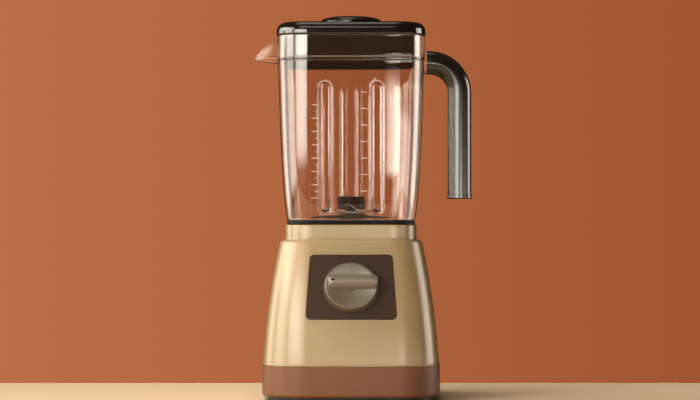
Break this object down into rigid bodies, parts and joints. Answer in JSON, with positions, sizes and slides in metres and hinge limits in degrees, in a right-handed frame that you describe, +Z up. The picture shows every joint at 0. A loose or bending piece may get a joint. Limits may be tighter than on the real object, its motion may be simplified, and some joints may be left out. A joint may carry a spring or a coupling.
{
  "type": "countertop blender",
  "caption": "Countertop blender with a clear square jar on a tapered square motor base, a lid with a filler cap, a side handle, a pouring spout and a front control knob.",
  "frame": {"origin": "on the worktop, on the vertical motor axis, in the middle of the foot ring", "axes": "+Z up along the motor axis; the knob faces -Y; the handle stands out to +X and the spout to -X"},
  "size_m": [0.2288, 0.1975, 0.4],
  "materials": {
    "cream_enamel": "glossy cream moulded plastic",
    "brown_plastic": "satin brown moulded plastic",
    "panel_plastic": "satin dark brown",
    "champagne_metal": "satin champagne anodised",
    "black_plastic": "glossy near-black moulded plastic",
    "handle_plastic": "glossy dark warm grey",
    "clear_plastic": "clear polished",
    "silicone": "soft satin",
    "rubber": "matte",
    "steel": "brushed",
    "lamination": "stacked sheet",
    "copper": "enamelled copper wire",
    "bronze": "sintered bronze",
    "carbon": "matte carbon",
    "cast_alloy": "cast, as made",
    "board": "laminate",
    "pale_plastic": "moulded"
  },
  "bodies": {
    "base": {"foot_ring": "rubber", "base_band": "brown_plastic", "bottom_cover": "black_plastic", "cover_screws": "steel", "body_shell": "cream_enamel", "jar_seat_pad": "rubber", "cord_gland": "rubber", "control_panel": "panel_plastic", "rotary_switch": "pale_plastic", "switch_nut": "steel", "circuit_board": "board", "suppressor_capacitor": "pale_plastic", "motor_stator": "lamination", "field_coils": "copper", "upper_bracket": "cast_alloy", "lower_bracket": "cast_alloy", "bracket_spacers": "cast_alloy", "motor_bolts": "steel", "motor_mounts": "rubber", "mount_screws": "steel", "upper_bearing": "bronze", "lower_bearing": "bronze", "brush_holders": "bronze", "carbon_brushes": "carbon", "interlock_spring": "steel", "seat_switch": "black_plastic"},
    "rotor": {"motor_shaft": "steel", "armature": "lamination", "armature_windings": "copper", "commutator": "copper", "cooling_fan": "pale_plastic", "drive_coupling": "black_plastic"},
    "knob": {"knob": "champagne_metal", "knob_pointer": "black_plastic", "switch_shaft": "steel"},
    "interlock_pin": {"interlock_pin": "pale_plastic"},
    "jar": {"jar_body": "clear_plastic", "jar_base": "black_plastic", "jar_seal": "rubber", "shaft_bush": "bronze", "shaft_seal": "rubber", "jar_handle": "handle_plastic", "handle_pin": "steel", "handle_end_cap": "black_plastic"},
    "blades": {"blade_shaft": "steel", "driven_coupling": "black_plastic", "lower_blade": "steel", "upper_blade": "steel", "blade_nut": "black_plastic"},
    "lid": {"lid": "black_plastic", "lid_gasket": "silicone"},
    "filler_cap": {"filler_cap": "black_plastic"}
  },
  "joints": [
    {"name": "rotor_spin", "type": "hinge", "parent": "base", "child": "rotor", "pos_m": [0, 0, 0.1], "axis": [0, 0, 1], "continuous": true},
    {"name": "knob_turn", "type": "hinge", "parent": "base", "child": "knob", "pos_m": [0, -0.08224, 0.1172], "axis": [0, -0.9876, 0.1573], "range_deg": [-180, 45]},
    {"name": "jar_lift", "type": "slide", "parent": "base", "child": "jar", "axis": [0, 0, 1], "range_m": [0, 0.06]},
    {"name": "pin_rise", "type": "slide", "parent": "base", "child": "interlock_pin", "axis": [0, 0, 1], "range_m": [0, 0.004], "deforming": ["interlock_spring"]},
    {"name": "blade_spin", "type": "hinge", "parent": "jar", "child": "blades", "pos_m": [0, 0, 0.195], "axis": [0, 0, 1], "continuous": true},
    {"name": "lid_lift", "type": "slide", "parent": "jar", "child": "lid", "axis": [0, 0, 1], "range_m": [0, 0.045]},
    {"name": "cap_lift", "type": "slide", "parent": "lid", "child": "filler_cap", "axis": [0, 0, 1], "range_m": [0, 0.04]}
  ],
  "couplings": [
    {"joint": "blade_spin", "follows": "rotor_spin", "ratio": 1},
    {"joint": "pin_rise", "follows": "jar_lift", "ratio": 0.0666}
  ]
}
